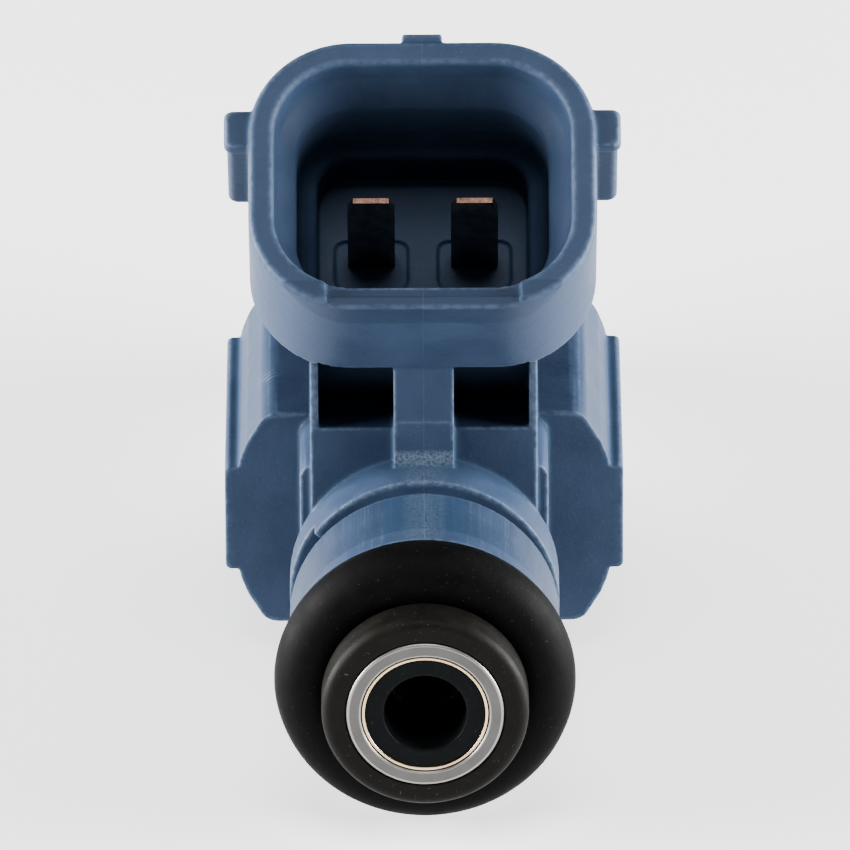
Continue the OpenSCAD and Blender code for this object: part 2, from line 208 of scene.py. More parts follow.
def insert_space():
    bm = bmesh.new()
    prism(bm, circle(TUBE_R), 5, 22, across)
    prism(bm, circle(3.4), 21, 25, across)
    prism(bm, box_outline(-7.2, -4.4, 7.2, 4.4), 22.5, 23.9, across)
    prism(bm, box_outline(-8.4, -2.4, 8.4, 2.4), 22.5, 34.1, across)
    prism(bm, box_outline(-7.2, -4.4, 7.2, 4.4), 32.7, 34.1, across)
    prism(bm, circle(4.96), 24.2, 32.4, across)
    prism(bm, circle(3.91), 32, 38, across)
    return solid("insert_space", bm)


def clip_cuts():
    bm = bmesh.new()
    gap = arc(0, 0, 7.2, 145, 190, 24) + arc(0, 0, 5.6, 190, 145, 24)
    loft(bm, across, (gap, 10.8), (gap, 12.9))
    tick = arc(0, 0, 7.2, 128, 129, 2) + arc(0, 0, 6.4, 129, 128, 2)
    prism(bm, tick, 11.7, 12.4, across)
    return solid("clip_cuts", bm)


def rib():
    bm = bmesh.new()
    side = [(13.84, 6), (13.84, 8.95), (13.9, 9), (13.9, 12.2), (15.2, 13.2), (15.2, 6)]
    prism(bm, side, -RIB_X, RIB_X, sideways)
    return solid("rib", bm)


def mesh_arrays(mesh):
    points = np.empty(len(mesh.vertices) * 3)
    mesh.vertices.foreach_get("co", points)
    edges = np.empty(len(mesh.edges) * 2, dtype=np.int64)
    mesh.edges.foreach_get("vertices", edges)
    return points.reshape(-1, 3), edges.reshape(-1, 2)


def neighbour_mean(values, edges):
    count = np.bincount(edges.ravel(), minlength=len(values)).astype(float)[:, None]
    total = np.stack([np.bincount(edges[:, 0], values[edges[:, 1], k], len(values))
                      + np.bincount(edges[:, 1], values[edges[:, 0], k], len(values))
                      for k in range(values.shape[1])], axis=1)
    return total / np.maximum(count, 1)


# Signed bend of the surface at each vertex: positive on convex edges, where it drives edge wear, and negative
# in concave creases, where the housing's finish uses it for painted shade.
def wear_and_crease_map(mesh, reach, rounds):
    points, edges = mesh_arrays(mesh)
    normals = np.empty(len(points) * 3)
    mesh.vertices.foreach_get("normal", normals)
    normals = normals.reshape(-1, 3)
    blurred = points
    for _ in range(rounds):
        blurred = neighbour_mean(blurred, edges)
    bulge = ((points - blurred) * normals).sum(axis=1)[:, None]
    bulge = neighbour_mean(bulge, edges)[:, 0]
    wear_and_crease_shade = mesh.attributes.new("wear_and_crease_shade", "FLOAT", "POINT")
    wear_and_crease_shade.data.foreach_set("value", np.clip(bulge / reach, -1, 1).astype(np.float32))


def moulded(obj, voxel, rounds, target):
    remesh = obj.modifiers.new("remesh", "REMESH")
    remesh.mode = "VOXEL"
    remesh.voxel_size = voxel
    exact = bpy.data.objects.new("exact", obj.data)
    bpy.context.scene.collection.objects.link(exact)
    settle = obj.modifiers.new("settle", "SHRINKWRAP")
    settle.target = exact
    baked(obj)
    bpy.data.objects.remove(exact)
    points, edges = mesh_arrays(obj.data)
    for _ in range(rounds):
        for weight in (0.55, -0.3):
            points = points + weight * (neighbour_mean(points, edges) - points)
    obj.data.vertices.foreach_set("co", points.ravel())
    obj.data.update()
    wear_and_crease_map(obj.data, 0.05, 10)
    triangles = sum(len(p.vertices) - 2 for p in obj.data.polygons)
    if triangles > target:
        thin = obj.modifiers.new("thin", "DECIMATE")
        thin.ratio = target / triangles
        baked(obj)
    return obj


def settled(obj, body, node, slot, *materials):
    obj.data.transform(Matrix.Scale(0.001, 4))
    obj.data.polygons.foreach_set("use_smooth", [True] * len(obj.data.polygons))
    obj.data.materials.clear()
    for material in materials:
        obj.data.materials.append(material)
    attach(obj, body)
    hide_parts(node)
    return obj


class Shader:
    """Node tree of one finish, in millimetres round the injector's axis."""

    def __init__(self, name, **sockets):
        self.material = bpy.data.materials.new(name)
        self.material.use_nodes = True
        self.tree = self.material.node_tree
        self.surface = self.tree.nodes["Principled BSDF"]
        for socket, value in sockets.items():
            self.surface.inputs[socket.replace("_", " ")].default_value = value
        here = self.add("ShaderNodeTexCoord").outputs["Object"]
        self.place = self.vector("MULTIPLY", here, (1000, 1000, 1000))
        self.normal = None

    def add(self, kind, **settings):
        node = self.tree.nodes.new(kind)
        for key, value in settings.items():
            setattr(node, key, value)
        return node

    def feed(self, socket, value):
        if isinstance(value, bpy.types.NodeSocket):
            self.tree.links.new(value, socket)
        else:
            socket.default_value = value

    def math(self, operation, *values):
        node = self.add("ShaderNodeMath", operation=operation)
        for socket, value in zip(node.inputs, values):
            self.feed(socket, value)
        return node.outputs[0]

    def vector(self, operation, *values):
        node = self.add("ShaderNodeVectorMath", operation=operation)
        for socket, value in zip(node.inputs, values):
            self.feed(socket, value)
        return node.outputs["Value" if operation in ("LENGTH", "DISTANCE", "DOT_PRODUCT") else "Vector"]

    def part(self, axis):
        split = self.add("ShaderNodeSeparateXYZ")
        self.feed(split.inputs[0], self.place)
        return split.outputs[axis]

    def radius(self):
        return self.vector("LENGTH", self.vector("MULTIPLY", self.place, (1, 0, 1)))

    def noise(self, scale, detail=2, stretch=None):
        node = self.add("ShaderNodeTexNoise")
        where = self.vector("MULTIPLY", self.place, stretch) if stretch else self.place
        self.feed(node.inputs["Vector"], where)
        node.inputs["Scale"].default_value = scale
        node.inputs["Detail"].default_value = detail
        return node.outputs["Fac"]

    def rings(self, scale, detail=3):
        node = self.add("ShaderNodeTexNoise", noise_dimensions="1D")
        self.feed(node.inputs["W"], self.math("ADD", self.radius(), self.part("Y")))
        node.inputs["Scale"].default_value = scale
        node.inputs["Detail"].default_value = detail
        return node.outputs["Fac"]

    def ramp(self, value, low, high, to_low=0.0, to_high=1.0):
        node = self.add("ShaderNodeMapRange")
        for socket, setting in zip(node.inputs, (value, low, high, to_low, to_high)):
            self.feed(socket, setting)
        return node.outputs[0]

    def mix(self, amount, a, b):
        node = self.add("ShaderNodeMix", data_type="RGBA")
        for socket, value in zip((node.inputs[0], node.inputs[6], node.inputs[7]), (amount, a, b)):
            self.feed(socket, value)
        return node.outputs[2]

    def bump(self, height, depth, strength=1.0):
        node = self.add("ShaderNodeBump")
        node.inputs["Distance"].default_value = depth * 0.001
        node.inputs["Strength"].default_value = strength
        self.feed(node.inputs["Height"], height)
        if self.normal:
            self.feed(node.inputs["Normal"], self.normal)
        self.normal = node.outputs[0]

    def done(self, tint, roughness):
        self.feed(self.surface.inputs["Base Color"], tint)
        self.feed(self.surface.inputs["Roughness"], roughness)
        if self.normal:
            self.feed(self.surface.inputs["Normal"], self.normal)
        return self.material


def slate_nylon():
    s = Shader("slate_nylon", Specular_IOR_Level=0.07)
    x, y, z = s.part("X"), s.part("Y"), s.part("Z")
    cloud = s.noise(0.45, 4)
    grain = s.noise(14, 3)
    flecks = s.ramp(s.noise(9, 2), 0.62, 0.7)
    # This attribute carries edge wear on convex edges and painted crease shade in concave ones.
    wear_and_crease_shade = s.add("ShaderNodeAttribute", attribute_name="wear_and_crease_shade").outputs["Fac"]
    offset = s.vector("SUBTRACT", s.place, MOUTH)
    depth = s.vector("DOT_PRODUCT", offset, (0, math.sin(LEAN), -math.cos(LEAN)))
    height = s.vector("DOT_PRODUCT", offset, (0, math.cos(LEAN), math.sin(LEAN)))
    outside = s.math("MAXIMUM", s.ramp(s.math("ABSOLUTE", x), 6.2, 6.6),
                     s.ramp(s.math("ABSOLUTE", height), 5.6, 5.9))
    outside = s.math("MAXIMUM", outside, s.math("MAXIMUM", s.ramp(depth, 2.2, 1.6), s.ramp(depth, 10.5, 11)))
    worn = s.math("MULTIPLY", s.ramp(wear_and_crease_shade, 0.32, 0.95), s.ramp(s.noise(3.2, 4), 0.35, 0.62, 0.15, 1.0))
    worn = s.math("MULTIPLY", worn, outside)
    # Painted shade: concave creases and inside corners are darkened towards a deep blue.
    hollow = s.ramp(wear_and_crease_shade, -0.15, -0.8)
    tint = s.mix(s.ramp(cloud, 0.35, 0.65), (0.0155, 0.027, 0.0535, 1), (0.02, 0.034, 0.0645, 1))
    tint = s.mix(s.math("MULTIPLY", flecks, 0.03), tint, (0.25, 0.33, 0.42, 1))
    tint = s.mix(s.math("MULTIPLY", worn, 0.25), tint, (0.13, 0.18, 0.26, 1))
    tint = s.mix(s.math("MULTIPLY", hollow, 0.5), tint, (0.02, 0.04, 0.07, 1))
    side = s.math("ABSOLUTE", x)
    on_collar = s.math("MULTIPLY", s.ramp(y, 6.9, 7.0), s.ramp(y, 10.85, 10.8))
    # Painted shade: the whole collar between the upper sealing ring and the clip groove is darkened all
    # round.
    tint = s.mix(s.math("MULTIPLY", on_collar, 0.4), tint, (0.006, 0.012, 0.025, 1))
    # A narrow land on top of the collar, the mould insert's mark, tinted darker blue; the darkness is partly
    # a painted reflection of the dark socket overhead.
    pad = s.math("MULTIPLY", s.ramp(side, 1.99, 1.95), on_collar)
    pad = s.math("MULTIPLY", pad, s.math("MULTIPLY", s.ramp(z, 5, 5.2), s.ramp(z, 7.4, 7.2)))
    tint = s.mix(s.math("MULTIPLY", pad, 0.6), tint, (0.012, 0.027, 0.055, 1))
    gate = s.math("MULTIPLY", s.ramp(s.math("ABSOLUTE", s.math("SUBTRACT", z, 6.98)), 0.5, 0.2),
                  s.math("MULTIPLY", s.ramp(side, 1.5, 1.35), s.ramp(y, 14.3, 14.2)))
    rough_spot = s.math("MULTIPLY", gate, s.ramp(s.noise(7, 4), 0.35, 0.6))
    tint = s.mix(s.math("MULTIPLY", rough_spot, 0.3), tint, (0.2, 0.26, 0.34, 1))
    spot = s.vector("DISTANCE", s.place, (-6.4, 23.5, 5.9))
    ripple = s.math("SINE", s.math("MULTIPLY", spot, 19))
    near = s.ramp(s.vector("DISTANCE", s.place, (-7.9, 25.8, 5.5)), 0.9, 0.3)
    scratch = s.math("MULTIPLY", s.ramp(ripple, 0.55, 0.95),
                     s.math("MULTIPLY", near, s.ramp(s.noise(1.7, 3), 0.4, 0.55)))
    tint = s.mix(s.math("MULTIPLY", scratch, 0.22), tint, (0.4, 0.5, 0.58, 1))
    seam = s.math("MULTIPLY", s.math("MULTIPLY", s.ramp(x, -0.015, 0.015), s.ramp(y, 22, 21)), outside)
    s.bump(seam, 0.03)
    s.bump(s.math("ADD", grain, s.math("MULTIPLY", rough_spot, s.noise(11, 2))), 0.025, 0.35)
    s.bump(s.noise(2.1, 3), 0.05, 0.3)
    roughness = s.ramp(cloud, 0.3, 0.7, 0.4, 0.52)
    roughness = s.math("ADD", roughness, s.math("MULTIPLY", s.math("ADD", worn, rough_spot), 0.12))
    return s.done(tint, roughness)


housing = housing_outside()
combine(housing, clip_cuts(), "DIFFERENCE")
combine(housing, socket_cavity(), "DIFFERENCE")
combine(housing, rib(), "UNION")
combine(housing, insert_space(), "DIFFERENCE")
moulded(housing, 0.09, 3, 196000)
housing.name = "housing_moulding"
settled(housing, "injector_body", "housing", "housing_plastic", slate_nylon())


# Inlet tube: deep-drawn and turned from stainless bar, faced off at the open end and narrowed behind
# the collar into the fixed magnet core. Only its ground end face shows from the front.
def turned(name, corners, turns=144):
    corners = [(Vector(c[:2]), c[2] if len(c) > 2 else 0.04) for c in corners]
    n = len(corners)
    area = sum(corners[i - 1][0].cross(corners[i][0]) for i in range(n))
    loop, worn = [], []
    for i, (p, fillet) in enumerate(corners):
        back = corners[i - 1][0] - p
        ahead = corners[(i + 1) % n][0] - p
        half = back.angle(ahead) / 2
        convex = (-back).cross(ahead) * area > 0
        fillet = min(fillet, 0.42 * min(back.length, ahead.length) * math.tan(half))
        back, ahead = back.normalized(), ahead.normalized()
        reach = fillet / math.tan(half)
        centre = p + (back + ahead).normalized() * fillet / math.sin(half)
        start, end = p + back * reach, p + ahead * reach
        loop.append(p + back * reach * 1.15)
        worn.append(0.0)
        for k in range(7):
            offset = (start - centre).lerp(end - centre, k / 6).normalized() * fillet
            loop.append(centre + offset)
            worn.append(1.0 if convex else -1.0)
        loop.append(p + ahead * reach * 1.15)
        worn.append(0.0)
    points = []
    for k in range(turns):
        angle = 2 * math.pi * k / turns
        points += [(p.x * math.cos(angle), p.y, p.x * math.sin(angle)) for p in loop]
    m = len(loop)
    faces = []
    for k in range(turns):
        for i in range(m):
            j, up = (i + 1) % m, (k + 1) % turns
            quad = (k * m + i, k * m + j, up * m + j, up * m + i)
            faces.append(quad if area > 0 else quad[::-1])
    mesh = bpy.data.meshes.new(name)
    mesh.from_pydata(points, [], faces)
    wear_and_crease_shade = mesh.attributes.new("wear_and_crease_shade", "FLOAT", "POINT")
    wear_and_crease_shade.data.foreach_set("value", np.tile(np.array(worn, np.float32), turns))
    obj = bpy.data.objects.new(name, mesh)
    bpy.context.scene.collection.objects.link(obj)
    return obj


def turned_metal(name, tint, rough, depth=0.012, bright=0.2, pitch=9):
    s = Shader(name, Metallic=1.0)
    marks = s.rings(pitch)
    cloud = s.noise(0.6, 4)
    wear_and_crease_shade = s.add("ShaderNodeAttribute", attribute_name="wear_and_crease_shade").outputs["Fac"]
    dark = tuple(0.72 * c for c in tint) + (1,)
    colour = s.mix(s.ramp(cloud, 0.3, 0.7), dark, tuple(tint) + (1,))
    colour = s.mix(s.math("MULTIPLY", s.ramp(wear_and_crease_shade, 0.3, 1), bright), colour, (0.8, 0.79, 0.76, 1))
    pits = s.ramp(s.noise(7, 3), 0.66, 0.74)
    colour = s.mix(s.math("MULTIPLY", pits, 0.4), colour, tuple(0.35 * c for c in tint) + (1,))
    s.bump(marks, depth, 0.6)
    s.bump(s.noise(16, 2), 0.008, 0.4)
    roughness = s.ramp(cloud, 0.3, 0.7, rough - 0.05, rough + 0.08)
    roughness = s.math("ADD", roughness, s.math("MULTIPLY", pits, 0.2))
    return s.done(colour, roughness)


tube_steel = turned_metal("tube_steel", (0.085, 0.083, 0.08), 0.36)
tube = turned("inlet_tube_turned", [
    (3.11, 0.01, 0.09), (3.82, 0.01, 0.14), (3.82, 22), (3.35, 22, 0.2), (3.35, 26.8), (3.05, 26.8),
    (3.05, 28.5), (1.75, 28.5, 0.08), (1.75, 13.5, 0.2), (3.11, 12.5, 0.2)])
settled(tube, "injector_body", "inlet_tube", "tube_steel", tube_steel)


# Ring retainer: a moulded ring of olive-brown nylon pressed over the tube's end, which keeps the
# upper sealing ring on. Its front edge is fully rounded, and handling has dusted it.
def dusty_plastic(name, tint, rough, dust=0.25, grain=0.02, specular=0.18):
    s = Shader(name, Specular_IOR_Level=specular)
    cloud = s.noise(0.9, 5)
    specks = s.ramp(s.noise(8, 2), 0.7, 0.74)
    wear_and_crease_shade = s.add("ShaderNodeAttribute", attribute_name="wear_and_crease_shade").outputs["Fac"]
    dark, pale = (tuple(part * c for c in tint) + (1,) for part in (0.75, 1.2))
    colour = s.mix(s.ramp(cloud, 0.3, 0.7), dark, pale)
    colour = s.mix(s.math("MULTIPLY", specks, dust), colour, (0.5, 0.48, 0.44, 1))
    colour = s.mix(s.math("MULTIPLY", s.ramp(wear_and_crease_shade, 0.2, 1), 0.2), colour, tuple(1.7 * c for c in tint) + (1,))
    s.bump(s.noise(13, 3), grain, 0.55)
    s.bump(s.noise(1.4, 3), 0.04, 0.3)
    roughness = s.ramp(cloud, 0.3, 0.7, rough - 0.07, rough + 0.08)
    roughness = s.math("ADD", roughness, s.math("MULTIPLY", specks, 0.2))
    return s.done(colour, roughness)


retainer = turned("ring_retainer_moulded", [
    (3.84, 0.07, 0.12), (5.02, 0.07, 0.76), (5.02, 2.13, 0.15), (3.84, 2.13, 0.1)])
settled(retainer, "injector_body", "ring_retainer", "retainer_plastic",
        dusty_plastic("olive_nylon", (0.0034, 0.0032, 0.0026), 0.5, 0.07, 0.02, 0.04))


# Sealing rings: compression-moulded black rubber, with the mould's flash line round the middle of each.
# The upper one seals in the fuel rail and the lower one in the manifold.
def sealing_ring(name, y, node, material):
    r, section, flash, steps = 5.57, 1.72, 0.03, 72
    profile = [(r + section * math.cos(a), y + section * math.sin(a))
               for a in (math.tau * k / steps for k in range(steps))]
    for k, reach in ((0, flash), (steps // 2, -flash)):
        profile[k] = (profile[k][0] + reach, profile[k][1])
    ring = ring_mesh(name, profile, 180)
    return settled(ring, "injector_body", node, "seal_rubber", material)


def ring_mesh(name, loop, turns):
    points = []
    for k in range(turns):
        angle = 2 * math.pi * k / turns
        points += [(r * math.cos(angle), y, r * math.sin(angle)) for r, y in loop]
    m = len(loop)
    faces = [(k * m + i, k * m + (i + 1) % m, (k + 1) % turns * m + (i + 1) % m, (k + 1) % turns * m + i)
             for k in range(turns) for i in range(m)]
    mesh = bpy.data.meshes.new(name)
    mesh.from_pydata(points, [], faces)
    obj = bpy.data.objects.new(name, mesh)
    bpy.context.scene.collection.objects.link(obj)
    return obj


black_rubber = dusty_plastic("black_rubber", (0.0018, 0.0018, 0.002), 0.55, 0.03, 0.015, 0.02)
sealing_ring("upper_o_ring_rubber", 3.92, "upper_o_ring", black_rubber)
sealing_ring("lower_o_ring_rubber", 50.2, "lower_o_ring", black_rubber)


# Inlet filter: a brass sleeve pressed into the tube holds a moulded cage of dark nylon. The cage has a
# collar, four ribs and a closed end, and a fine woven screen is moulded into it.
brass = turned_metal("filter_brass", (0.75, 0.5, 0.24), 0.28, 0.006, 0.3)
sleeve = turned("filter_sleeve_brass", [
    (2.92, 0.08, 0.03), (3.06, 0.08, 0.05), (3.06, 4.2, 0.03), (2.92, 4.2, 0.03)])
settled(sleeve, "injector_body", "filter_sleeve", "filter_brass", brass)

cage = turned("filter_cage_moulded", [
    (2.0, 0.15, 0.12), (2.91, 0.15, 0.06), (2.91, 4.2), (2.5, 4.2, 0.1), (2.5, 5, 0.05), (2.0, 5, 0.1)])
bm = bmesh.new()
bm.from_mesh(cage.data)
for turn in range(4):
    spin = Matrix.Rotation(math.radians(45 + 90 * turn), 4, "Y")
    prism(bm, round_rect(0.5, 0.6, 0.12, 4), 4.9, 11.2, lambda u, v, d: spin @ Vector((2.25 + u, d, v)))
loft(bm, across, *((circle(r, 64), y) for r, y in ((2.4, 11.1), (2.5, 11.2), (2.5, 11.8), (2.4, 11.9))))
bmesh.ops.recalc_face_normals(bm, faces=bm.faces)
bm.to_mesh(cage.data)
bm.free()
settled(cage, "injector_body", "filter_cage", "filter_plastic",
        dusty_plastic("filter_nylon", (0.002, 0.0026, 0.003), 0.5, 0.05, 0.02, 0.03))


def node_group(name, inputs):
    tree = bpy.data.node_groups.new(name, "GeometryNodeTree")
    for label, kind, value in inputs:
        socket = tree.interface.new_socket(label, in_out="INPUT", socket_type=kind)
        if value is not None:
            socket.default_value = value
    tree.interface.new_socket("Geometry", in_out="OUTPUT", socket_type="NodeSocketGeometry")
    return tree


def linked(tree, kind, inputs=None, **settings):
    node = tree.nodes.new(kind)
    for key, value in settings.items():
        setattr(node, key, value)
    for key, value in (inputs or {}).items():
        if isinstance(value, bpy.types.NodeSocket):
            tree.links.new(value, node.inputs[key])
        else:
            node.inputs[key].default_value = value
    return node


def grown(name, tree, values):
    obj = bpy.data.objects.new(name, bpy.data.meshes.new(name))
    bpy.context.scene.collection.objects.link(obj)
    step = obj.modifiers.new("grow", "NODES")
    step.node_group = tree
    for item in tree.interface.items_tree:
        if item.in_out == "INPUT" and item.name in values:
            step[item.identifier] = values[item.name]
    return baked(obj)


def screen_tree():
    tree = node_group("screen", [
        ("Radius", "NodeSocketFloat", 1.92), ("Start", "NodeSocketFloat", 4.65),
        ("Length", "NodeSocketFloat", 6.4), ("Hoops", "NodeSocketInt", 40), ("Bars", "NodeSocketInt", 60),
        ("Wire", "NodeSocketFloat", 0.03), ("Finish", "NodeSocketMaterial", None)])
    given = tree.nodes.new("NodeGroupInput").outputs
    thread = linked(tree, "GeometryNodeCurvePrimitiveCircle", {"Resolution": 5, "Radius": given["Wire"]})
    hoop = linked(tree, "GeometryNodeCurvePrimitiveCircle", {"Resolution": 72, "Radius": given["Radius"]})
    hoop_wire = linked(tree, "GeometryNodeCurveToMesh", {0: hoop.outputs[0], 1: thread.outputs[0]})
    upright = (math.pi / 2, 0, 0)
    stand = linked(tree, "GeometryNodeTransform", {"Geometry": hoop_wire.outputs[0], "Rotation": upright})
    rise = linked(tree, "ShaderNodeCombineXYZ", {"Y": given["Length"]})
    start = linked(tree, "ShaderNodeCombineXYZ", {"Y": given["Start"]})
    end = linked(tree, "ShaderNodeVectorMath", {0: start.outputs[0], 1: rise.outputs[0]}, operation="ADD")
    line = linked(tree, "GeometryNodeMeshLine",
                  {"Count": given["Hoops"], "Start Location": start.outputs[0], "Offset": end.outputs[0]},
                  mode="END_POINTS")
    hoops = linked(tree, "GeometryNodeInstanceOnPoints",
                   {"Points": line.outputs[0], "Instance": stand.outputs[0]})
    bar_line = linked(tree, "GeometryNodeCurvePrimitiveLine",
                      {"Start": start.outputs[0], "End": end.outputs[0]})
    bar = linked(tree, "GeometryNodeCurveToMesh",
                 {0: bar_line.outputs[0], 1: thread.outputs[0], "Fill Caps": True})
    spread = linked(tree, "GeometryNodeMeshCircle", {"Vertices": given["Bars"], "Radius": given["Radius"]})
    level = linked(tree, "GeometryNodeTransform", {"Geometry": spread.outputs[0], "Rotation": upright})
    bars = linked(tree, "GeometryNodeInstanceOnPoints",
                  {"Points": level.outputs[0], "Instance": bar.outputs[0]})
    joined = tree.nodes.new("GeometryNodeJoinGeometry")
    tree.links.new(bars.outputs[0], joined.inputs[0])
    tree.links.new(hoops.outputs[0], joined.inputs[0])
    real = linked(tree, "GeometryNodeRealizeInstances", {0: joined.outputs[0]})
    finish = linked(tree, "GeometryNodeSetMaterial",
                    {"Geometry": real.outputs[0], "Material": given["Finish"]})
    linked(tree, "NodeGroupOutput", {"Geometry": finish.outputs[0]})
    return tree


mesh_steel = turned_metal("mesh_steel", (0.12, 0.115, 0.105), 0.5, 0.004)
screen = grown("filter_screen_woven", screen_tree(), {"Finish": mesh_steel})
settled(screen, "injector_body", "filter_mesh", "mesh_steel", mesh_steel)


# Preload sleeve and return spring: a slit steel sleeve pressed into the core holds the spring against
# the armature. The spring is wound from round wire, and its end turns lie close.
spring_steel = turned_metal("spring_steel", (0.5, 0.5, 0.51), 0.3, 0.004, 0.1)
sleeve = turned("preload_sleeve_rolled", [
    (0.95, 15.5, 0.1), (1.74, 15.5, 0.12), (1.74, 20.5, 0.12), (0.95, 20.5, 0.1)], 96)
bm = bmesh.new()
prism(bm, box_outline(-0.09, 0.5, 0.09, 2.5), 15, 21, across)
combine(sleeve, solid("slit", bm), "DIFFERENCE")
settled(sleeve, "injector_body", "preload_sleeve", "spring_steel", spring_steel)


def coil_tree():
    tree = node_group("coil", [
        ("Turns", "NodeSocketFloat", 7.0), ("Closed", "NodeSocketFloat", 1.0),
        ("Radius", "NodeSocketFloat", 1.4), ("Start", "NodeSocketFloat", 20.72),
        ("Rise", "NodeSocketFloat", 9.26), ("Wire", "NodeSocketFloat", 0.2),
        ("Steps", "NodeSocketInt", 400), ("Sides", "NodeSocketInt", 10),
        ("Finish", "NodeSocketMaterial", None)])
    given = tree.nodes.new("NodeGroupInput").outputs

    def calc(operation, *values):
        return linked(tree, "ShaderNodeMath", dict(enumerate(values)), operation=operation).outputs[0]

    line = linked(tree, "GeometryNodeCurvePrimitiveLine")
    cut = linked(tree, "GeometryNodeResampleCurve", {"Curve": line.outputs[0], "Count": given["Steps"]})
    along = tree.nodes.new("GeometryNodeSplineParameter").outputs["Factor"]
    turn = calc("MULTIPLY", along, given["Turns"])
    angle = calc("MULTIPLY", turn, math.tau)
    flat = calc("MULTIPLY", calc("MULTIPLY", given["Closed"], given["Wire"]), 2)
    last = calc("SUBTRACT", given["Turns"], given["Closed"])
    low = calc("MINIMUM", turn, given["Closed"])
    high = calc("MAXIMUM", calc("SUBTRACT", turn, last), 0)
    free = calc("SUBTRACT", turn, calc("ADD", low, high))
    span = calc("SUBTRACT", last, given["Closed"])
    open_rise = calc("SUBTRACT", given["Rise"], calc("MULTIPLY", flat, 2))
    rise = calc("MULTIPLY", calc("DIVIDE", free, span), open_rise)
    ends = calc("MULTIPLY", calc("MULTIPLY", calc("ADD", low, high), given["Wire"]), 2)
    height = calc("ADD", given["Start"], calc("ADD", rise, ends))
    spot = linked(tree, "ShaderNodeCombineXYZ", {
        "X": calc("MULTIPLY", given["Radius"], calc("COSINE", angle)), "Y": height,
        "Z": calc("MULTIPLY", given["Radius"], calc("SINE", angle))})
    bent = linked(tree, "GeometryNodeSetPosition", {"Geometry": cut.outputs[0], "Position": spot.outputs[0]})
    wire = linked(tree, "GeometryNodeCurvePrimitiveCircle",
                  {"Resolution": given["Sides"], "Radius": given["Wire"]})
    body = linked(tree, "GeometryNodeCurveToMesh",
                  {0: bent.outputs[0], 1: wire.outputs[0], "Fill Caps": True})
    real = linked(tree, "GeometryNodeRealizeInstances", {0: body.outputs[0]})
    finish = linked(tree, "GeometryNodeSetMaterial",
                    {"Geometry": real.outputs[0], "Material": given["Finish"]})
    linked(tree, "NodeGroupOutput", {"Geometry": finish.outputs[0]})
    return tree


coil = coil_tree()
spring = grown("return_spring_wound", coil, {"Finish": spring_steel})
spring.data.transform(Matrix.Scale(0.001, 4))
spring.data.polygons.foreach_set("use_smooth", [True] * len(spring.data.polygons))
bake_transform(spring)
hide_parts("return_spring")


# Terminals: two blades stamped from tinned copper strip. The press leaves bare copper on the sheared
# end of each blade and a chamfer round its tip, and the tails run down inside the plastic to the coil.
def blade(name, x, node, tinned, copper):
    bm = bmesh.new()
    w, t, tip, root, mid = 1.15, 0.32, -3.4, -11.4, 0.12
    route = [below(0.9 - tip, mid + t), below(0.9 - tip, mid - t), below(-root, mid - t),
             (24.06, 7.4), (24.06, 5.2), (24.7, 5.2), (24.7, 7.4), below(-root, mid + t)]
    prism(bm, route, x - w, x + w, sideways)
    stem = solid(name, bm)
    bm = bmesh.new()
    full = box_outline(x - w, mid - t, x + w, mid + t)
    point = box_outline(x - 0.87, mid - 0.05, x + 0.87, mid + 0.22)
    loft(bm, in_mouth, (full, tip - 1.3), (full, tip - 0.9), (point, tip))
    combine(stem, solid("tip", bm), "UNION")
    bevel = stem.modifiers.new("edges", "BEVEL")
    bevel.width = 0.05
    bevel.segments = 3
    bevel.limit_method = "ANGLE"
    bevel.angle_limit = math.radians(25)
    baked(stem)
    settled(stem, "injector_body", node, "terminal_metal", tinned, copper)
    mouthward = (AT_MOUTH.to_3x3() @ Vector((0, 0, 1))).normalized()
    for face in stem.data.polygons:
        face.use_smooth = face.area < 1.5e-7
        face.material_index = int(face.normal.dot(mouthward) > 0.93 and face.center.z > 0.015)


def blade_tin():
    s = Shader("blade_tin", Metallic=1.0)
    cloud = s.noise(1.3, 4)
    streak = s.noise(2.2, 4, (1, 0.12, 0.12))
    colour = s.mix(s.ramp(cloud, 0.3, 0.7), (0.16, 0.155, 0.14, 1), (0.3, 0.29, 0.26, 1))
    s.bump(streak, 0.02, 0.5)
    s.bump(s.noise(15, 2), 0.01, 0.4)
    return s.done(colour, s.ramp(streak, 0.3, 0.7, 0.26, 0.42))


def sheared_copper():
    s = Shader("sheared_copper", Metallic=1.0)
    tear = s.noise(5, 4, (4, 1, 1))
    colour = s.mix(s.ramp(tear, 0.35, 0.65), (0.085, 0.042, 0.031, 1), (0.14, 0.082, 0.062, 1))
    s.bump(tear, 0.03, 0.6)
    return s.done(colour, s.ramp(s.noise(3, 3), 0.3, 0.7, 0.3, 0.5))


tinned, copper = blade_tin(), sheared_copper()
blade("left_blade", -BLADE_X, "left_terminal", tinned, copper)
blade("right_blade", BLADE_X, "right_terminal", tinned, copper)


# Coil: a bobbin of glass-filled plastic wound with enamelled copper wire, layer on layer. The outer
# layer is a real helix over a copper-coloured pack.
bobbin = turned("coil_bobbin_moulded", [
    (3.41, 24.2, 0.08), (4.95, 24.2, 0.1), (4.95, 24.9, 0.1), (3.9, 24.9, 0.08), (3.9, 31.7, 0.08),
    (4.95, 31.7, 0.1), (4.95, 32.4, 0.1), (3.41, 32.4, 0.08)])
settled(bobbin, "injector_body", "coil_bobbin", "bobbin_plastic",
        dusty_plastic("bobbin_plastic", (0.62, 0.56, 0.42), 0.5, 0.1))
enamel = turned_metal("winding_enamel", (0.55, 0.2, 0.07), 0.3, 0.01, 0.0, 8)
winding = grown("coil_winding_wire", coil, {
    "Turns": 56.0, "Closed": 0.0, "Radius": 4.73, "Start": 24.98, "Rise": 6.64, "Wire": 0.06, "Steps": 2600,
    "Sides": 6, "Finish": enamel})
core = turned("winding_pack", [(3.92, 24.92), (4.71, 24.92), (4.71, 31.68), (3.92, 31.68)])
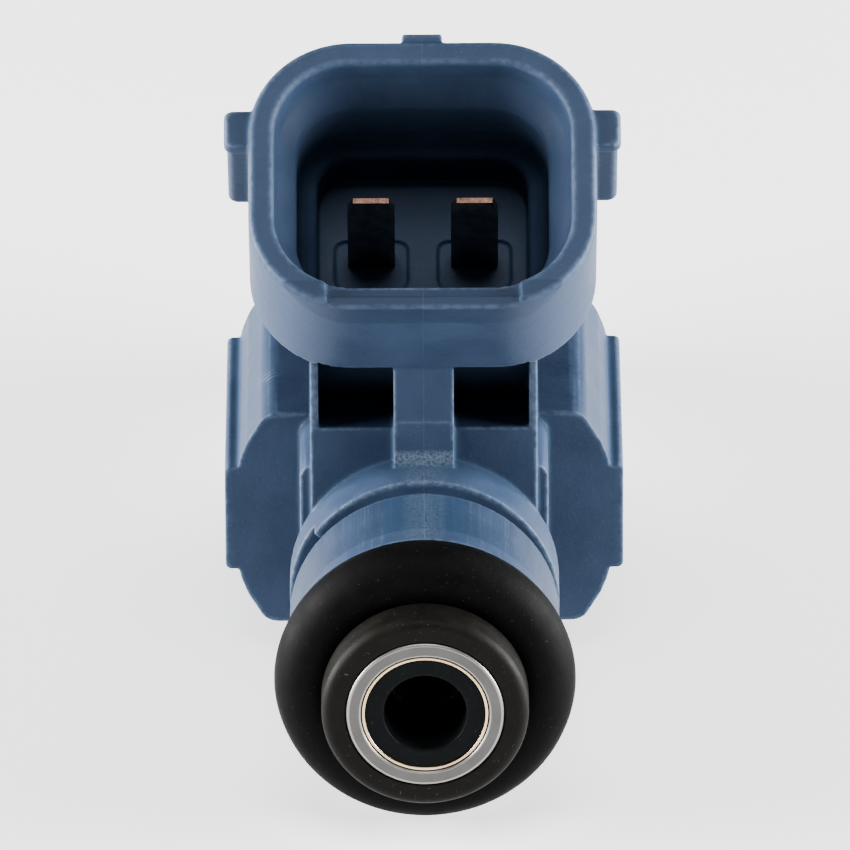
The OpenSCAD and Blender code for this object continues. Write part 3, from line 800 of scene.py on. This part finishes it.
bm = bmesh.new()
bm.from_mesh(winding.data)
bm.from_mesh(core.data)
bm.to_mesh(winding.data)
bm.free()
bpy.data.objects.remove(core)
settled(winding, "injector_body", "coil_winding", "winding_copper", enamel)


# Magnet iron: the yoke and the flux plate are blanked from soft iron sheet, and the joint sleeve is a
# short drawn tube of stainless steel welded over the core's nose.
def repaint(node, material):
    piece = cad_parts[node]
    piece.data.materials.clear()
    piece.data.materials.append(material)


iron = turned_metal("magnet_iron", (0.3, 0.3, 0.31), 0.45, 0.006)
repaint("yoke_frame", iron)
repaint("flux_plate", iron)
joint = turned("joint_sleeve_drawn", [(3.06, 26.82), (3.38, 26.82), (3.38, 31.3), (3.06, 31.3)])
settled(joint, "injector_body", "joint_sleeve", "valve_steel",
        turned_metal("sleeve_steel", (0.5, 0.5, 0.5), 0.32))


# Needle group: the armature is turned from magnetic steel, and the hollow needle is welded into it with
# a ground ball on its end. All three move together.
valve_steel = turned_metal("valve_steel", (0.46, 0.46, 0.47), 0.3)
armature = turned("armature_turned", [
    (1.75, 28.63, 0.08), (2.7, 28.63, 0.1), (2.7, 35.2, 0.1), (1.11, 35.2), (1.11, 32.8), (0.75, 32.8),
    (0.75, 30.2), (1.75, 30.2)])
settled(armature, "needle_group", "armature", "valve_steel", valve_steel)
repaint("needle", valve_steel)
repaint("valve_ball", turned_metal("ball_steel", (0.62, 0.62, 0.63), 0.12, 0.002))


# Valve body and seat: a stepped steel body pressed into the housing, with the stop washer, the ball's
# guide, the ground seat and the thin drilled orifice plate inside its end.
body_steel = turned_metal("body_steel", (0.45, 0.45, 0.44), 0.34, 0.014)
valve_body = turned("valve_body_turned", [
    (2.75, 29.6), (3.05, 29.6), (3.05, 32.42), (3.9, 32.6), (3.9, 36.4), (4.9, 36.4, 0.1), (5.1, 36.6, 0.1),
    (5.1, 44, 0.1), (4.6, 45, 0.2), (4.6, 46.4, 0.12), (5.4, 46.6, 0.08), (5.4, 48, 0.08), (3.82, 48),
    (3.82, 51.98), (3.4, 51.98), (3.4, 58.4, 0.12), (2.2, 58.4, 0.1), (2.2, 57.87), (2.62, 57.87), (2.62, 53),
    (2.2, 52.99), (2.2, 37.01), (3.2, 37.01), (3.2, 35.7), (2.75, 35.69)])
settled(valve_body, "injector_body", "valve_body", "body_steel", body_steel)
for node in ("stop_washer", "ball_guide", "valve_seat", "orifice_plate"):
    repaint(node, valve_steel)


# Lower end: a nylon washer backs the lower sealing ring, and a moulded cap keeps the ring on and covers
# the nozzle's end.
washer = turned("backing_washer_moulded", [
    (3.84, 48.02, 0.08), (6.2, 48.02, 0.1), (6.2, 48.42, 0.1), (3.84, 48.42, 0.08)])
settled(washer, "injector_body", "backing_washer", "retainer_plastic",
        dusty_plastic("washer_nylon", (0.05, 0.045, 0.035), 0.5))
cap = turned("nozzle_cap_moulded", [
    (3.43, 52.0, 0.1), (5.3, 52.0, 0.12), (5.3, 56.4, 0.3), (4.7, 57.4, 0.2), (3.43, 57.4, 0.15)])
settled(cap, "injector_body", "nozzle_cap", "cap_plastic",
        dusty_plastic("cap_nylon", (0.02, 0.02, 0.022), 0.48))


# Stage: a pale seamless floor that glows a little, large soft lights low at both sides, a weaker one
# above and in front, and the camera.
bm = bmesh.new()
bmesh.ops.create_grid(bm, x_segments=1, y_segments=1, size=1.2)
floor = solid("floor", bm)
floor.data.transform(Matrix.Translation((0, 0, cad_box[0].z - 0.0002)))
paint = Shader("floor_paint", Roughness=0.9, Specular_IOR_Level=0.0)
paint.surface.inputs["Emission Color"].default_value = (1, 1, 1, 1)
paint.surface.inputs["Emission Strength"].default_value = 0.6
shade = paint.mix(paint.noise(0.05, 3), (0.83, 0.83, 0.83, 1), (0.87, 0.87, 0.87, 1))
floor.data.materials.append(paint.done(shade, 0.9))

world = bpy.data.worlds.new("studio")
world.use_nodes = True
world.node_tree.nodes["Background"].inputs["Color"].default_value = (1, 1, 1, 1)
world.node_tree.nodes["Background"].inputs["Strength"].default_value = 0.12
bpy.context.scene.world = world


def soft_light(name, place, power, width, height, aim=(0, 0.02, 0.008)):
    data = bpy.data.lights.new(name, "AREA")
    data.shape = "RECTANGLE"
    data.size, data.size_y = width, height
    data.energy = power
    lamp = bpy.data.objects.new(name, data)
    lamp.location = place
    lamp.rotation_mode = "QUATERNION"
    lamp.rotation_quaternion = (Vector(aim) - Vector(place)).to_track_quat("-Z", "Y")
    bpy.context.scene.collection.objects.link(lamp)


soft_light("left_light", (-0.35, 0.04, 0.06), 11.5, 0.34, 0.13)
soft_light("right_light", (0.35, 0.04, 0.06), 11.5, 0.34, 0.13)
soft_light("top_light", (0, -0.17, 0.52), 2.5, 0.3, 0.2)

ELEVATION = math.radians(26.15)
ROLL = math.radians(0.28)
back = Vector((0, -math.cos(ELEVATION), math.sin(ELEVATION)))
upward = Vector((0, math.sin(ELEVATION), math.cos(ELEVATION)))
camera_data = bpy.data.cameras.new("camera")
camera_data.lens = 675.7
camera_data.sensor_width = 36
camera_data.clip_start = 0.01
camera = bpy.data.objects.new("camera", camera_data)
camera.rotation_mode = "QUATERNION"
camera.location = Vector((0.00006, 0, 0)) + 0.014 * upward + 0.77 * back
turn = Matrix.Rotation(-ROLL, 3, back)
camera.rotation_quaternion = (turn @ (-back).to_track_quat("-Z", "Y").to_matrix()).to_quaternion()
bpy.context.scene.collection.objects.link(camera)
bpy.context.scene.camera = camera
